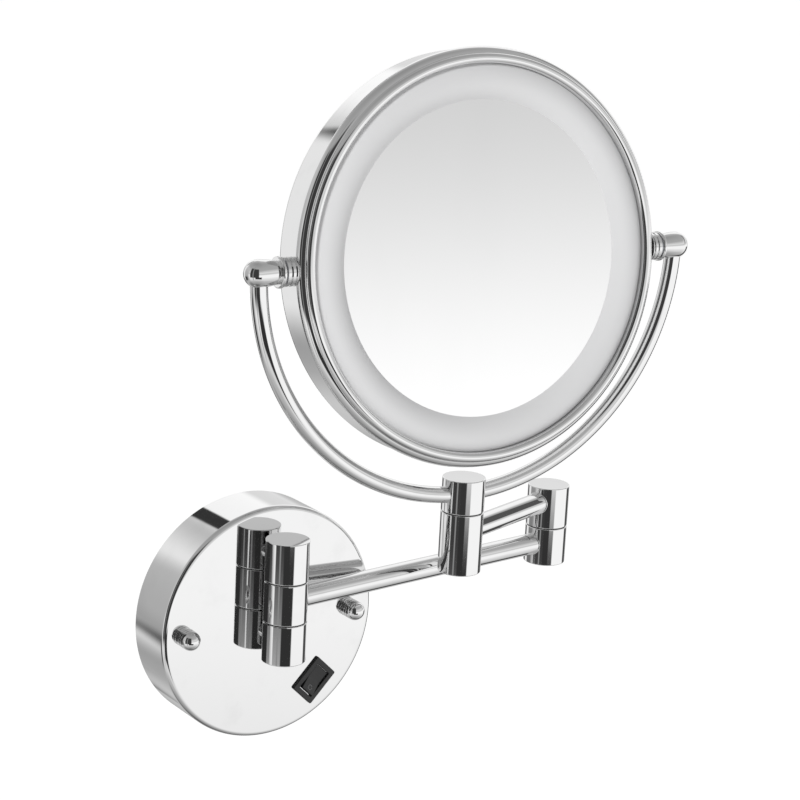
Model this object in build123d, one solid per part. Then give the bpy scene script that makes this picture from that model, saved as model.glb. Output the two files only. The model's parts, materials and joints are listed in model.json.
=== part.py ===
from build123d import *
import math
import os

# An extendable, wall-mounted, lit shaving mirror, in millimetres and degrees.
# The wall is the plane y = 0 and the mirror stands out from it towards -y. z is up.
# The origin is the centre of the wall plate's back. The sizes give the mirror half folded.

# ------------------------------------------------------------------ wall plate and bracket
plate_radius = 60.0
plate_depth = 28.5
plate_wall = 1.2
plate_edge = 2.5  # rounding round the front face
plate_play = 1.0  # between the plate's rim and the bracket's ends
bracket_height = 26.0
bracket_thickness = 2.0
bracket_inset = 4.0  # the bracket's square ends stop this far inside the plate's edge
wall_screw_spacing = 72.0
wall_screw_hole = 2.6  # radius
inlet_radius = 8.0  # the supply cable comes out of the wall here
stud_inset = 12.5  # from the plate's edge to a stud
stud_radius = 2.0
stud_clearance = 0.3
cap_nut_radius = 4.9
cap_nut_length = 9.3
cap_nut_grip = 6.5  # how far a stud goes into its nut
nut_grooves = (1.4, 3.2)  # where the nut's two grooves start, from the plate
nut_groove_width = 0.6
nut_groove_depth = 0.5

# ------------------------------------------------------------------ hinges and arms
knuckle_radius = 11.0
knuckle_edge = 0.5  # small chamfer on the end faces
seam_gap = 0.4
knuckle_standoff = 13.5  # hinge axis in front of the plate's face
arm1_z = 16.4  # height of arm 1, which is level with the wall hinge's middle
wall_segment = 20.5  # each of the wall hinge's three parts
arm_radius = 5.6
arm_wall = 1.0
socket_web = 1.8  # metal left between an arm tube's end and the hinge's bush
arm1_length = 175.0
arm2_length = 80.0
arm_rise = 23.2  # arm 2 above arm 1
elbow_foot = 5.1  # metal of the elbow under arm 1
elbow_crown = 3.9  # metal of the elbow's lower part over arm 1
elbow_cap = 3.1  # metal of the elbow's upper part over arm 2
front_crown = 5.9  # metal of the front hinge's lower part over arm 2
front_lower = 31.8
front_upper = 17.4
pin_radius = 4.0
pin_clearance = 0.05
bush_wall = 1.0
pin_cover = 4.0  # metal left over a pin's end
pin_end_gap = 0.3  # between the yoke's tube and the pin under it
washer_inset = 3.1  # from the knuckle's outside to its washer
washer_thickness = 1.3
washer_recess = 1.0
washer_play = 0.3
keeper_inset = 1.0  # the keeper is this much smaller than the plug under it
keeper_thickness = 1.2
keeper_play = 0.1
screw_radius = 2.0
screw_reach = 7.5  # how far a keeper's screw goes into its pin
screw_hole_depth = 8.0
screw_head_radius = 3.6
screw_head = 2.2
foot_ledge = 2.4  # the bore in a hinge's foot is this much wider than the bush over it
plug_thickness = 1.5
foot_bore_depth = 5.6  # counterbore under a hinge, for the keeper, its screw and the plug
knuckle_screw_radius = 2.5
knuckle_screw_tip = 0.6  # the tip stops this far short of the hinge's pin
knuckle_screw_head = 3.2
knuckle_screw_head_radius = 4.5
spacer_radius = 4.5
backing_width = 22.0
backing_thickness = 2.0
backing_reach = 8.0  # the strip goes this far past its screws

# ------------------------------------------------------------------ resting angles, about z
arm1_angle = 5.7
elbow_fold = 193.0  # arm 2's direction from arm 1's
swivel_angle = -3.5  # direction of the yoke's pivot axis
tilt_angle = 6.6  # the mirror faces this much upwards

# ------------------------------------------------------------------ mirror head; its front faces the viewer
drum_radius = 101.9
drum_wall = 1.0
drum_back = -17.2
drum_rounding = 3.0
lip_width = 11.9  # the back's rolled rim, round the rear mirror's opening
bezel_overhang = 1.5  # the bezel stands this far outside the drum
bezel_width = 8.1
bezel_rise = 4.9  # the bezel stands this far in front of the drum's mouth
bezel_bead = 2.5  # section radius of the bead round the opening
bezel_shoulder = 4.4  # section radius of the rounded shoulder outside it
bezel_lap = 1.4  # how far the bezel's skirt goes over the drum's mouth
bezel_clearance = 0.35  # between the skirt and the pivot's bush
fit_gap = 0.1  # between parts that drop into each other
glass_inset = 21.9  # from the drum's outside to the front mirror's edge
glass_thickness = 3.0
glass_front = 4.7
diffuser_overlap = 2.0  # the domed ring covers the mirror's edge
diffuser_crest = 8.8
diffuser_rim = 6.4  # how far forward the domed ring's outer edge stands
diffuser_wall = 1.8
chassis_gap = 1.3  # between the chassis and the drum's wall
chassis_wall = 2.0
chassis_floor = -9.5
chassis_web = 6.0  # floor ring that stands in past the mirror's seat
seat_width = 8.0  # the shelf under the front mirror's edge
shelf_front = -1.6
board_gap = 1.5  # round the mirror, and again outside the lamp board
board_play = 0.4
board_width = 10.0
board_thickness = 1.4
led_count = 36
led_size = 3.0
led_height = 1.0
rear_glass_overlap = 7.0  # hidden behind the drum's rim
rear_glass_thickness = 2.5
rear_glass_dish = 1500.0  # radius of the magnifying curve
rear_pad = 4.0  # width of the foam ring
tilt_screw_radius = 2.5
tilt_screw_end = 0.5  # the screw stops this far short of the barrel's dome
tilt_bush_wall = 0.75
tilt_head_step = 1.2  # the screw's head stands this far outside its shank
tilt_head = 2.4
tilt_block = 4.4  # how deep the pivot block stands in from the drum's wall
tilt_block_width = 18.0
tilt_block_depth = 9.6
tilt_block_play = 1.0  # round the block, in the chassis
collar_radius = 7.1
collar_root = 2.0  # the collar starts this far inside the drum, and is cut to its wall
collar_groove = 0.9
collar_groove_depth = 0.8
collar_grooves = (0.36, 0.7)  # places of the two grooves, as shares of the collar
spring_radius = 6.0
spring_thickness = 0.8
spring_play = 0.1

# ------------------------------------------------------------------ yoke
yoke_tube_radius = 4.25
yoke_wall = 1.0
yoke_socket = 4.2  # tube ends stop this far below the pivot axis
barrel_radius = 6.8
barrel_waist = 5.4  # its radius at the flange
barrel_standoff = 9.7  # from the drum's wall to the barrel
barrel_length = 16.8
barrel_middle = 9.2  # from the barrel's inner end to the yoke's tube
flange_radius = 7.7
flange_thickness = 2.0
flange_edge = 0.6
set_screw_radius = 1.5
set_screw_inset = 0.6
set_screw_bite = 0.1

# ------------------------------------------------------------------ switch and electrics
switch_x = 26.9
switch_z = -35.1
switch_angle = -46.0
switch_width = 15.0
switch_length = 20.5
switch_bezel = 1.4
switch_corner = 0.8
switch_wall = 1.6
switch_depth = 14.0
switch_margin = 1.2  # the bezel's overlap on the plate, all round
well_spare = 3.0  # the well is this much deeper than the rocker
rocker_gap = 0.35
rocker_depth = 4.6
rocker_rise = 1.5  # how far the paddle's ends stand over its middle, front and back
rocker_vee = 0.7
rocker_lift = 0.2
rocker_draft = 1.0
rocker_tilt = 8.0
rocker_pin_radius = 1.0
rocker_pin_inset = 1.2
terminal_length = 7.0
terminal_width = 4.8
terminal_thickness = 0.8
terminal_offset = 4.5
driver_length = 36.0
driver_height = 24.0
driver_thickness = 14.0
driver_corner = 2.0
driver_x = -14.0
driver_z = -33.0
block_length = 18.0
block_height = 14.0
block_thickness = 13.0
block_x = -23.0
block_pitch = 5.625
block_way = 1.6  # radius of a wire's hole
block_way_depth = 4.0
block_screw = 1.9

# ------------------------------------------------------------------ places worked out from the sizes
face_y = -plate_depth
inner_face_y = face_y + plate_wall
stud_offset = plate_radius - stud_inset
hinge_y = face_y - knuckle_standoff
wall_axis = (0.0, hinge_y)
elbow_axis = (
    wall_axis[0] + arm1_length * math.cos(math.radians(arm1_angle)),
    wall_axis[1] + arm1_length * math.sin(math.radians(arm1_angle)),
)
arm2_angle = arm1_angle + elbow_fold
front_axis = (
    elbow_axis[0] + arm2_length * math.cos(math.radians(arm2_angle)),
    elbow_axis[1] + arm2_length * math.sin(math.radians(arm2_angle)),
)
arm2_z = arm1_z + arm_rise
half_segment = wall_segment / 2
wall_top_z = arm1_z + half_segment + seam_gap + wall_segment
wall_bottom_z = arm1_z - half_segment - seam_gap - wall_segment
outer_segment_z = wall_segment + seam_gap  # from arm 1 to the middle of a fixed part
elbow_bottom_z = arm1_z - arm_radius - elbow_foot
elbow_seam_z = arm1_z + arm_radius + elbow_crown
elbow_top_z = arm2_z + arm_radius + elbow_cap
front_seam_z = arm2_z + arm_radius + front_crown
front_bottom_z = front_seam_z - front_lower
front_top_z = front_seam_z + seam_gap + front_upper
bush_radius = pin_radius + bush_wall
socket_floor = bush_radius + socket_web  # arm tubes reach this close to a hinge axis
washer_radius = knuckle_radius - washer_inset
plug_radius = bush_radius + foot_ledge
keeper_radius = plug_radius - keeper_inset

tilt_bush_radius = tilt_screw_radius + tilt_bush_wall
bezel_back = tilt_bush_radius + bezel_clearance  # rear edge of the bezel's skirt
drum_front = bezel_back + bezel_lap
bezel_front = drum_front + bezel_rise
bezel_radius = drum_radius + bezel_overhang
bezel_opening = bezel_radius - bezel_width
rear_lip = drum_radius - lip_width
rear_glass_radius = rear_lip + rear_glass_overlap
glass_radius = drum_radius - glass_inset
glass_seat = glass_front - glass_thickness
diffuser_inner = glass_radius - diffuser_overlap
diffuser_outer = bezel_opening - fit_gap
chassis_radius = drum_radius - drum_wall - chassis_gap
board_inner = glass_radius + board_gap
board_outer = board_inner + board_width
chassis_well = board_outer + board_gap  # outside of the chassis's floor
block_face = drum_radius - drum_wall - tilt_block
barrel_start = drum_radius + barrel_standoff
barrel_end = barrel_start + barrel_length
barrel_dome = barrel_end - barrel_radius
flange_face = barrel_start - flange_thickness
collar_end = flange_face - spring_thickness - spring_play
yoke_radius = barrel_start + barrel_middle

yoke_bottom_z = front_seam_z + seam_gap + front_upper / 2
yoke_pin_top = yoke_bottom_z - yoke_tube_radius - pin_end_gap
pivot_z = yoke_bottom_z + yoke_radius
yoke_place = Location((front_axis[0], front_axis[1], pivot_z)) * Location((0, 0, 0), (0, 0, swivel_angle))
head_place = yoke_place * Location((0, 0, 0), (-tilt_angle, 0, 0))

switch_place = Location((switch_x, face_y, switch_z)) * Location((0, 0, 0), (0, switch_angle, 0))
body_width = switch_width - 2 * switch_margin
body_length = switch_length - 2 * switch_margin
rocker_width = body_width - 2 * switch_wall - 2 * rocker_gap
rocker_length = body_length - 2 * switch_wall - 2 * rocker_gap
rocker_pivot_y = rocker_pin_inset - switch_bezel / 2


# ------------------------------------------------------------------ helpers
def rod(radius, start, end):
    """A round bar from one point to another."""
    a, b = Vector(*start), Vector(*end)
    bar = Cylinder(radius, (b - a).length, align=(Align.CENTER, Align.CENTER, Align.MIN))
    return Plane(origin=a, z_dir=b - a) * bar


def upright(radius, axis, bottom, top, edge=0.0):
    """A vertical cylinder on a hinge axis, with its end edges chamfered."""
    bar = rod(radius, (*axis, bottom), (*axis, top))
    if edge:
        bar = chamfer(bar.edges().filter_by(GeomType.CIRCLE), edge)
    return bar


def ring(outer, inner, axis, bottom, top):
    """A vertical sleeve or washer on a hinge axis."""
    return upright(outer, axis, bottom, top) - upright(inner, axis, bottom, top)


def turned(*outline):
    """A body of revolution about y from (radius, forward) points, closed by straight lines."""
    points = [(radius, -forward) for radius, forward in outline]
    return revolve(make_face(Polyline(*points, close=True)), Axis.Y)


def disc(radius, front, back):
    """A cylinder on the head's own axis, between two distances forward of the pivots."""
    return turned((0, front), (radius, front), (radius, back), (0, back))


def box_between(low, high):
    """A box from its lowest corner to its highest."""
    size = [b - a for a, b in zip(low, high)]
    return Pos(*low) * Box(*size, align=(Align.MIN, Align.MIN, Align.MIN))


def both_sides(make):
    """The same piece on the left and on the right."""
    return Compound(children=[make(side) for side in (-1, 1)])


# ------------------------------------------------------------------ wall bracket, plate and nuts
def wall_bracket():
    """A steel bar on the wall, with screw holes, stud holes and the cable's hole."""
    end = plate_radius - bracket_inset
    bar = box_between((-end, -bracket_thickness, -bracket_height / 2), (end, 0, bracket_height / 2))
    bar &= rod(plate_radius - plate_wall - plate_play, (0, -bracket_thickness, 0), (0, 0, 0))
    holes = [(side * wall_screw_spacing / 2, wall_screw_hole) for side in (-1, 1)]
    holes += [(side * stud_offset, stud_radius) for side in (-1, 1)] + [(0.0, inlet_radius)]
    for x, radius in holes:
        bar -= rod(radius, (x, -bracket_thickness, 0), (x, 0, 0))
    return bar


def wall_plate():
    """A round pressed cup over the bracket, open to the wall."""
    outer = rod(plate_radius, (0, 0, 0), (0, face_y, 0))
    outer = fillet(outer.edges().filter_by(GeomType.CIRCLE).sort_by(Axis.Y)[0], plate_edge)
    inner = rod(plate_radius - plate_wall, (0, 0, 0), (0, inner_face_y, 0))
    inner = fillet(inner.edges().filter_by(GeomType.CIRCLE).sort_by(Axis.Y)[0], plate_edge - plate_wall)
    plate = outer - inner
    for side in (-1, 1):
        hole = side * stud_offset
        plate -= rod(stud_radius + stud_clearance, (hole, face_y, 0), (hole, inner_face_y, 0))
        height = arm1_z + side * outer_segment_z
        plate -= rod(knuckle_screw_radius, (0, face_y, height), (0, inner_face_y, height))
    return plate - switch_place * switch_cutout()


def bracket_stud(side):
    tip = face_y - cap_nut_grip
    return rod(stud_radius, (side * stud_offset, 0, 0), (side * stud_offset, tip, 0))


def cap_nut(side):
    """A domed nut on a stud, with two grooves round its foot."""
    straight = cap_nut_length - cap_nut_radius
    nut = rod(cap_nut_radius, (0, face_y, 0), (0, face_y - straight, 0))
    nut += Pos(0, face_y - straight, 0) * Sphere(cap_nut_radius)
    nut -= rod(2 * cap_nut_radius, (0, face_y, 0), (0, 0, 0))
    for start in nut_grooves:
        ends = ((0, face_y - start, 0), (0, face_y - start - nut_groove_width, 0))
        nut -= rod(2 * cap_nut_radius, *ends) - rod(cap_nut_radius - nut_groove_depth, *ends)
    nut -= rod(stud_radius, (0, face_y, 0), (0, face_y - cap_nut_grip, 0))
    return Pos(side * stud_offset, 0, 0) * nut


# ------------------------------------------------------------------ rocker switch
def switch_cutout():
    return Pos(0, plate_wall / 2, 0) * Box(body_length, plate_wall, body_width)


def switch_body():
    """The switch's case, with its bezel on the plate and a well for the rocker."""
    bezel = Pos(0, -switch_bezel / 2, 0) * Box(switch_length, switch_bezel, switch_width)
    bezel = fillet(bezel.edges().filter_by(Axis.Y), switch_corner)
    body = Pos(0, switch_depth / 2, 0) * Box(body_length, switch_depth, body_width)
    well_depth = switch_bezel + rocker_depth + well_spare
    well = Pos(0, well_depth / 2 - switch_bezel, 0) * Box(
        body_length - 2 * switch_wall, well_depth, body_width - 2 * switch_wall
    )
    pin_reach = body_width / 2 - switch_wall / 2 + pin_clearance
    ends = ((0, rocker_pivot_y, -pin_reach), (0, rocker_pivot_y, pin_reach))
    return switch_place * (bezel + body - well - rod(rocker_pin_radius + pin_clearance, *ends))


def switch_rocker():
    """The paddle, a shallow vee on its own pins, pressed down at one end."""
    half = rocker_length / 2
    tip = -rocker_rise - rocker_lift - rocker_pivot_y
    heel = rocker_depth - rocker_rise
    outline = Polyline(
        (-half, tip),
        (0, -rocker_vee - rocker_pivot_y),
        (half, tip),
        (half - rocker_draft, heel),
        (0, rocker_depth),
        (rocker_draft - half, heel),
        close=True,
    )
    paddle = Pos(0, 0, -rocker_width / 2) * extrude(make_face(outline), rocker_width)
    pin_reach = body_width / 2 - switch_wall / 2
    paddle += rod(rocker_pin_radius, (0, 0, -pin_reach), (0, 0, pin_reach))
    pivot = Location((0, rocker_pivot_y, 0)) * Location((0, 0, 0), (0, 0, rocker_tilt))
    return switch_place * (pivot * paddle)


def switch_terminals():
    """Two flat blades out of the back of the switch."""
    blade = Box(terminal_thickness, terminal_length, terminal_width)
    middle = switch_depth + terminal_length / 2
    return both_sides(lambda side: switch_place * Pos(side * terminal_offset, middle, 0) * blade)


# ------------------------------------------------------------------ electrics in the plate
def led_driver():
    """The lamp's power supply, stuck to the inside of the plate."""
    case = box_between(
        (driver_x - driver_length / 2, inner_face_y, driver_z - driver_height / 2),
        (driver_x + driver_length / 2, inner_face_y + driver_thickness, driver_z + driver_height / 2),
    )
    return fillet(case.edges().filter_by(Axis.Y), driver_corner)


def terminal_block():
    """A screw terminal on the bracket, with three wire ways through it."""
    low = (block_x - block_length / 2, -bracket_thickness - block_thickness, -block_height / 2)
    block = box_between(low, (block_x + block_length / 2, -bracket_thickness, block_height / 2))
    y = low[1] + block_way_depth
    for step in (-1, 0, 1):
        x = block_x + step * block_pitch
        block -= rod(block_way, (x, y, -block_height), (x, y, block_height))
        block -= rod(block_screw, (x, low[1], 0), (x, y, 0))
    return block


# ------------------------------------------------------------------ parts of the elbow and front hinge
def hinge_lower(axis, bottom, seam):
    """A lower knuckle: bored for its bush, recessed for the washer, counterbored at the foot."""
    body = upright(knuckle_radius, axis, bottom, seam, knuckle_edge)
    body -= upright(bush_radius, axis, bottom, seam)
    body -= upright(plug_radius, axis, bottom, bottom + foot_bore_depth)
    return body - upright(washer_radius, axis, seam - washer_recess, seam)


def hinge_bush(axis, bottom, seam):
    low, high = bottom + foot_bore_depth, seam - washer_recess
    return ring(bush_radius, pin_radius + pin_clearance, axis, low, high)


def hinge_washer(axis, seam):
    low = seam - washer_recess
    return ring(washer_radius, pin_radius + washer_play, axis, low, low + washer_thickness)


def hinge_plug(axis, bottom):
    return upright(plug_radius, axis, bottom, bottom + plug_thickness)


def hinge_pin(axis, bottom, top):
    """A pin fixed in the upper knuckle, tapped at its foot for the keeper's screw."""
    foot = bottom + foot_bore_depth - keeper_play
    return upright(pin_radius, axis, foot, top) - upright(screw_radius, axis, foot, foot + screw_hole_depth)


def hinge_keeper(axis, bottom):
    """The washer that holds the pin in its knuckle from below, with its screw."""
    top = bottom + foot_bore_depth - keeper_play
    low = top - keeper_thickness
    keeper = ring(keeper_radius, screw_radius, axis, low, top)
    screw = upright(screw_radius, axis, low, top + screw_reach)
    screw += upright(screw_head_radius, axis, low - screw_head, low)
    return Compound(children=[keeper, screw])


def arm_tube(start, end, height):
    """A straight tube between two hinge axes, let into both knuckles."""
    a, b = Vector(*start, height), Vector(*end, height)
    along = (b - a).normalized()
    a, b = a + along * socket_floor, b - along * socket_floor
    return rod(arm_radius, a, b) - rod(arm_radius - arm_wall, a, b)


def arm_socket(axis, angle, height):
    """What a knuckle loses to the tube that enters it."""
    turn = math.radians(angle)
    point = Vector(*axis, height)
    along = Vector(math.cos(turn), math.sin(turn), 0)
    return rod(arm_radius, point + along * socket_floor, point + along * 2 * knuckle_radius)


# ------------------------------------------------------------------ wall hinge
def knuckle_spacer(side):
    """A short post from the plate to the hinge, hollowed to the knuckle's round."""
    height = arm1_z + side * outer_segment_z
    post = rod(spacer_radius, (0, face_y, height), (0, hinge_y, height))
    post -= rod(knuckle_screw_radius, (0, face_y, height), (0, hinge_y, height))
    return post - upright(knuckle_radius, wall_axis, wall_bottom_z, wall_top_z)


def backing_plate():
    """A steel strip behind the plate's face that spreads the arm's pull."""
    reach = outer_segment_z + backing_reach
    strip = box_between(
        (-backing_width / 2, inner_face_y, arm1_z - reach),
        (backing_width / 2, inner_face_y + backing_thickness, arm1_z + reach),
    )
    for side in (-1, 1):
        height = arm1_z + side * outer_segment_z
        strip -= rod(knuckle_screw_radius, (0, inner_face_y, height), (0, 0, height))
    return strip


def knuckle_screw(side):
    """A screw from inside the plate, through a spacer, into the hinge."""
    height = arm1_z + side * outer_segment_z
    seat = inner_face_y + backing_thickness
    head = rod(knuckle_screw_head_radius, (0, seat, height), (0, seat + knuckle_screw_head, height))
    return head + rod(knuckle_screw_radius, (0, seat, height), (0, knuckle_screw_end(), height))


def knuckle_screw_end():
    return hinge_y + pin_radius + knuckle_screw_tip


def outer_segment(side):
    """The hinge's fixed top or bottom part, bored for the pin and recessed for a washer."""
    seam = arm1_z + side * (half_segment + seam_gap)
    end = seam + side * wall_segment
    low, high = min(seam, end), max(seam, end)
    body = upright(knuckle_radius, wall_axis, low, high, knuckle_edge)
    if side > 0:
        body -= upright(pin_radius, wall_axis, low, high - pin_cover)
    else:
        body -= upright(pin_radius, wall_axis, low, high)
        body -= upright(plug_radius, wall_axis, low, low + plug_thickness)
    body -= upright(washer_radius, wall_axis, *sorted((seam, seam + side * washer_recess)))
    height = arm1_z + side * outer_segment_z
    return body - rod(knuckle_screw_radius, (0, face_y, height), (0, knuckle_screw_end(), height))


def wall_hinge_pin():
    return upright(pin_radius, wall_axis, wall_bottom_z + plug_thickness, wall_top_z - pin_cover)


def wall_hinge_washers():
    """Two plastic washers, one over and one under the turning part."""
    rings = []
    for side in (-1, 1):
        seam = arm1_z + side * (half_segment + seam_gap)
        ends = (seam + side * washer_recess, seam + side * (washer_recess - washer_thickness))
        rings.append(ring(washer_radius, pin_radius, wall_axis, *sorted(ends)))
    return Compound(children=rings)


# ------------------------------------------------------------------ arm 1
def arm1_knuckle():
    """The wall hinge's turning middle part."""
    low, high = arm1_z - half_segment, arm1_z + half_segment
    body = upright(knuckle_radius, wall_axis, low, high, knuckle_edge)
    body -= upright(bush_radius, wall_axis, low, high)
    return body - arm_socket(wall_axis, arm1_angle, arm1_z)


def arm1_bush():
    ends = (arm1_z - half_segment, arm1_z + half_segment)
    return ring(bush_radius, pin_radius + pin_clearance, wall_axis, *ends)


# ------------------------------------------------------------------ yoke
def yoke_arc(radius):
    """A half ring of round bar about the pivot axis, open at the top."""
    cut = math.degrees(math.asin(yoke_socket / yoke_radius))
    start = Pos(-yoke_radius, 0, 0) * Circle(radius)
    half = Location((0, 0, 0), (0, -cut, 0)) * start
    return revolve(half, Axis((0, 0, 0), (0, -1, 0)), 180 - 2 * cut)


def yoke_tube():
    return yoke_place * (yoke_arc(yoke_tube_radius) - yoke_arc(yoke_tube_radius - yoke_wall))


def yoke_knuckle():
    """The front hinge's upper part, cross-bored for the yoke."""
    body = upright(knuckle_radius, front_axis, front_seam_z + seam_gap, front_top_z, knuckle_edge)
    body -= upright(pin_radius, front_axis, front_seam_z, yoke_pin_top)
    body -= yoke_set_screw()
    return body - yoke_place * yoke_arc(yoke_tube_radius)


def yoke_set_screw():
    """A grub screw from the back of the knuckle onto the tube."""
    outer, inner = knuckle_radius - set_screw_inset, yoke_tube_radius - set_screw_bite
    screw = rod(set_screw_radius, (0, outer, -yoke_radius), (0, inner, -yoke_radius))
    return yoke_place * (screw - yoke_arc(yoke_tube_radius))


def yoke_barrel(side):
    """A domed barrel on the end of the yoke, drawn in towards its flange."""
    root, waist, belly = (barrel_start, 0), (barrel_start, barrel_waist), (barrel_dome, barrel_radius)
    swell = TangentArc(belly, waist, tangent=(-1, 0))
    section = [Line(root, waist), swell, Line(belly, (barrel_dome, 0)), Line((barrel_dome, 0), root)]
    body = revolve(make_face(section), Axis.X)
    body += Pos(barrel_dome, 0, 0) * Sphere(barrel_radius)
    flange = rod(flange_radius, (flange_face, 0, 0), (barrel_start, 0, 0))
    body += fillet(flange.edges().filter_by(GeomType.CIRCLE), flange_edge)
    body -= rod(tilt_screw_radius, (flange_face, 0, 0), (barrel_dome, 0, 0))
    body = mirror(body, Plane.YZ) if side < 0 else body
    return yoke_place * (body - yoke_arc(yoke_tube_radius))


def tilt_spring(side):
    """A thin steel friction ring under the barrel's flange."""
    ends = ((side * (flange_face - spring_thickness), 0, 0), (side * flange_face, 0, 0))
    return yoke_place * (rod(spring_radius, *ends) - rod(tilt_screw_radius, *ends))


def tilt_screw(side):
    """The pivot: a shouldered screw from inside the drum into the barrel."""
    seat, tip = block_face - keeper_play, barrel_dome - tilt_screw_end
    shank = rod(tilt_screw_radius, (side * seat, 0, 0), (side * tip, 0, 0))
    head_radius = tilt_screw_radius + tilt_head_step
    head = rod(head_radius, (side * (seat - tilt_head), 0, 0), (side * seat, 0, 0))
    return yoke_place * (shank + head)


# ------------------------------------------------------------------ mirror head
def drum_housing():
    """The chromed shell, open in front, with a rolled lip round the rear mirror."""
    inner = drum_radius - drum_wall
    shell = turned(
        (inner, drum_front), (drum_radius, drum_front), (drum_radius, drum_back), (rear_lip, drum_back),
        (rear_lip, drum_back + drum_wall), (inner, drum_back + drum_wall),
    )
    edges = shell.edges().filter_by(GeomType.CIRCLE)
    corner = [e for e in edges if abs(e.radius - drum_radius) < 1e-4 and e.center().Y > 0]
    shell = fillet(corner, drum_rounding)
    for side in (-1, 1):
        shell -= rod(tilt_bush_radius, (0, 0, 0), (side * 2 * drum_radius, 0, 0))
    return head_place * shell


def front_bezel():
    """A ring with a bead and a rounded shoulder that clips round the drum's mouth."""
    bead, bead_centre = bezel_opening + bezel_bead, bezel_front - bezel_bead
    body = turned(
        (bezel_opening, bead_centre), (bead, bead_centre), (bead, drum_front), (bezel_opening, drum_front)
    )
    for radius, forward, section in (
        (bead, bead_centre, bezel_bead), (bezel_radius - bezel_shoulder, bezel_back, bezel_shoulder)
    ):
        body += revolve(Pos(radius, -forward) * Circle(section), Axis.Y)
    body -= disc(bezel_radius, bezel_back, drum_back)
    body -= disc(bezel_opening, bezel_front, drum_back)
    return head_place * (body - disc(drum_radius, drum_front, 0))


def diffuser_ring():
    """A frosted ring, domed in section, over the lamps."""
    crest = (diffuser_inner + diffuser_outer) / 2
    start, rim = (diffuser_inner, -glass_front), (diffuser_outer, -diffuser_rim)
    foot = (diffuser_outer, -glass_front)
    low = (diffuser_outer - diffuser_wall, -glass_front), (diffuser_inner + diffuser_wall, -glass_front)
    section = make_face([
        ThreePointArc(start, (crest, -diffuser_crest), rim), Line(rim, foot), Line(foot, low[0]),
        ThreePointArc(low[0], (crest, -diffuser_crest + diffuser_wall), low[1]), Line(low[1], start),
    ])
    return head_place * revolve(section, Axis.Y)


def front_mirror():
    return head_place * disc(glass_radius, glass_front, glass_seat)


def chassis():
    """The moulded frame in the drum: it carries the front mirror, the lamp board and the diffuser."""
    lip = diffuser_outer - diffuser_wall
    neck = board_inner - board_play
    seat_edge = glass_radius - seat_width
    inside = seat_edge - chassis_web
    ledge = shelf_front - chassis_wall
    floor = chassis_floor + chassis_wall
    body = turned(
        (inside, chassis_floor), (chassis_well, chassis_floor), (chassis_well, ledge),
        (chassis_radius, ledge), (chassis_radius, drum_front), (diffuser_outer, drum_front),
        (diffuser_outer, glass_front), (lip, glass_front), (lip, shelf_front), (neck, shelf_front),
        (neck, glass_seat), (seat_edge, glass_seat), (seat_edge, floor), (inside, floor),
    )
    depth = 2 * (chassis_radius - block_face + tilt_head + tilt_block_play)
    notch = Box(depth, 3 * glass_front, tilt_block_width + 2 * tilt_block_play)
    for side in (-1, 1):
        body -= Pos(side * chassis_radius, 0, 0) * notch
    return head_place * body


def led_board():
    top = shelf_front + board_thickness
    return head_place * (disc(board_outer, top, shelf_front) - disc(board_inner, top, shelf_front))


def leds():
    """The lamps, evenly spaced round the board."""
    radius = (board_inner + board_outer) / 2
    front = shelf_front + board_thickness + led_height / 2
    lamps = []
    for step in range(led_count):
        turn = Location((0, 0, 0), (0, 360 * (step + 0.5) / led_count, 0))
        lamps.append(head_place * turn * Pos(radius, -front, 0) * Box(led_size, led_height, led_size))
    return Compound(children=lamps)


def rear_mirror():
    """The magnifying mirror, dished, behind the drum's lip."""
    rim = -(drum_back + drum_wall)
    rise = rear_glass_dish - math.sqrt(rear_glass_dish**2 - rear_glass_radius**2)
    centre = Pos(0, rim - rise + rear_glass_dish, 0)
    blank = rod(rear_glass_radius, (0, rim - rise - rear_glass_thickness, 0), (0, rim, 0))
    blank &= centre * Sphere(rear_glass_dish + rear_glass_thickness)
    return head_place * (blank - centre * Sphere(rear_glass_dish))


def rear_gasket():
    """A foam ring that presses the rear mirror onto the lip."""
    back = drum_back + drum_wall + rear_glass_thickness
    pad = disc(chassis_well, chassis_floor, back) - disc(chassis_well - rear_pad, chassis_floor, back)
    return head_place * pad - rear_mirror()


def tilt_block_solid(side):
    """A block inside the drum's wall that takes the pivot's load."""
    block = Pos(side * (block_face + drum_radius) / 2, 0, 0) * Box(
        drum_radius - block_face, tilt_block_depth, tilt_block_width
    )
    block &= disc(drum_radius - drum_wall, tilt_block_depth, -tilt_block_depth)
    return head_place * (block - rod(tilt_bush_radius, (0, 0, 0), (side * drum_radius, 0, 0)))


def tilt_bush(side):
    ends = ((side * block_face, 0, 0), (side * collar_end, 0, 0))
    return head_place * (rod(tilt_bush_radius, *ends) - rod(tilt_screw_radius + pin_clearance, *ends))


def pivot_collar(side):
    """A turned collar on the drum's wall, with two grooves round it."""
    length = collar_end - drum_radius
    ends = ((side * (drum_radius - collar_root), 0, 0), (side * collar_end, 0, 0))
    collar = rod(collar_radius, *ends) - rod(tilt_bush_radius, *ends)
    for share in collar_grooves:
        at = side * (drum_radius + share * length)
        walls = ((at - collar_groove / 2, 0, 0), (at + collar_groove / 2, 0, 0))
        collar -= rod(2 * collar_radius, *walls) - rod(collar_radius - collar_groove_depth, *walls)
    collar -= disc(bezel_radius + fit_gap, 2 * collar_radius, bezel_back - fit_gap)
    return head_place * (collar - disc(drum_radius, 2 * collar_radius, -2 * collar_radius))


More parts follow.
